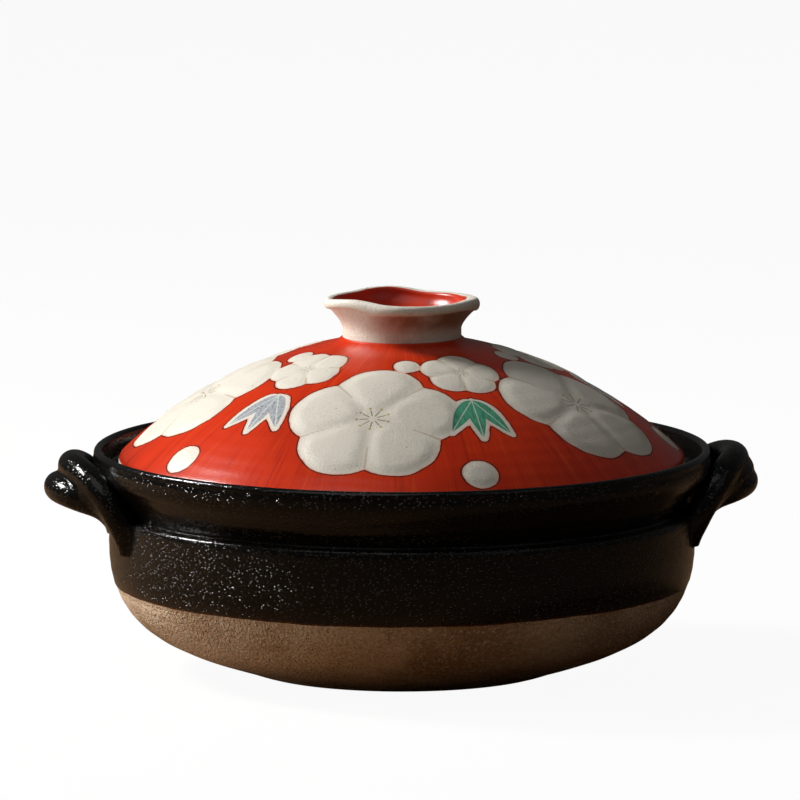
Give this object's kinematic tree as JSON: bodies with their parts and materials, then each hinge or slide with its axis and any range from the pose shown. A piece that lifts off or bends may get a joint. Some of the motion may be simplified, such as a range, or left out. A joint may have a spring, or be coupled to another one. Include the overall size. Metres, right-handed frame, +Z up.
{
  "type": "lidded clay stew pot",
  "caption": "Low round clay stew pot with a collar round its mouth, coiled ear handles, and a domed lid with a hollow pinched knob that lifts straight off.",
  "frame": {"origin": "centre of the foot, on the surface that the pot stands on", "axes": "+Z up through the knob, +X through the right-hand handle, +Y to the back where the steam hole is"},
  "size_m": [0.3328, 0.2868, 0.1752],
  "materials": {
    "black_glaze": "satin black glaze with a fine sandy grain, over tan clay that is bare below the glaze line",
    "red_glaze": "glossy brushed red and cream glazes with green and grey leaves",
    "cream_glaze": "soft matte cream glaze that breaks to brown over edges, glossy red inside"
  },
  "bodies": {
    "pot": {"pot_bowl": "black_glaze", "left_handle_upper_roll": "black_glaze", "left_handle_lower_roll": "black_glaze", "right_handle_upper_roll": "black_glaze", "right_handle_lower_roll": "black_glaze"},
    "lid": {"lid_dome": "red_glaze", "lid_knob": "cream_glaze"}
  },
  "joints": [
    {"name": "lid_lift", "type": "slide", "parent": "pot", "child": "lid", "axis": [0, 0, 1], "range_m": [0, 0.15]}
  ]
}
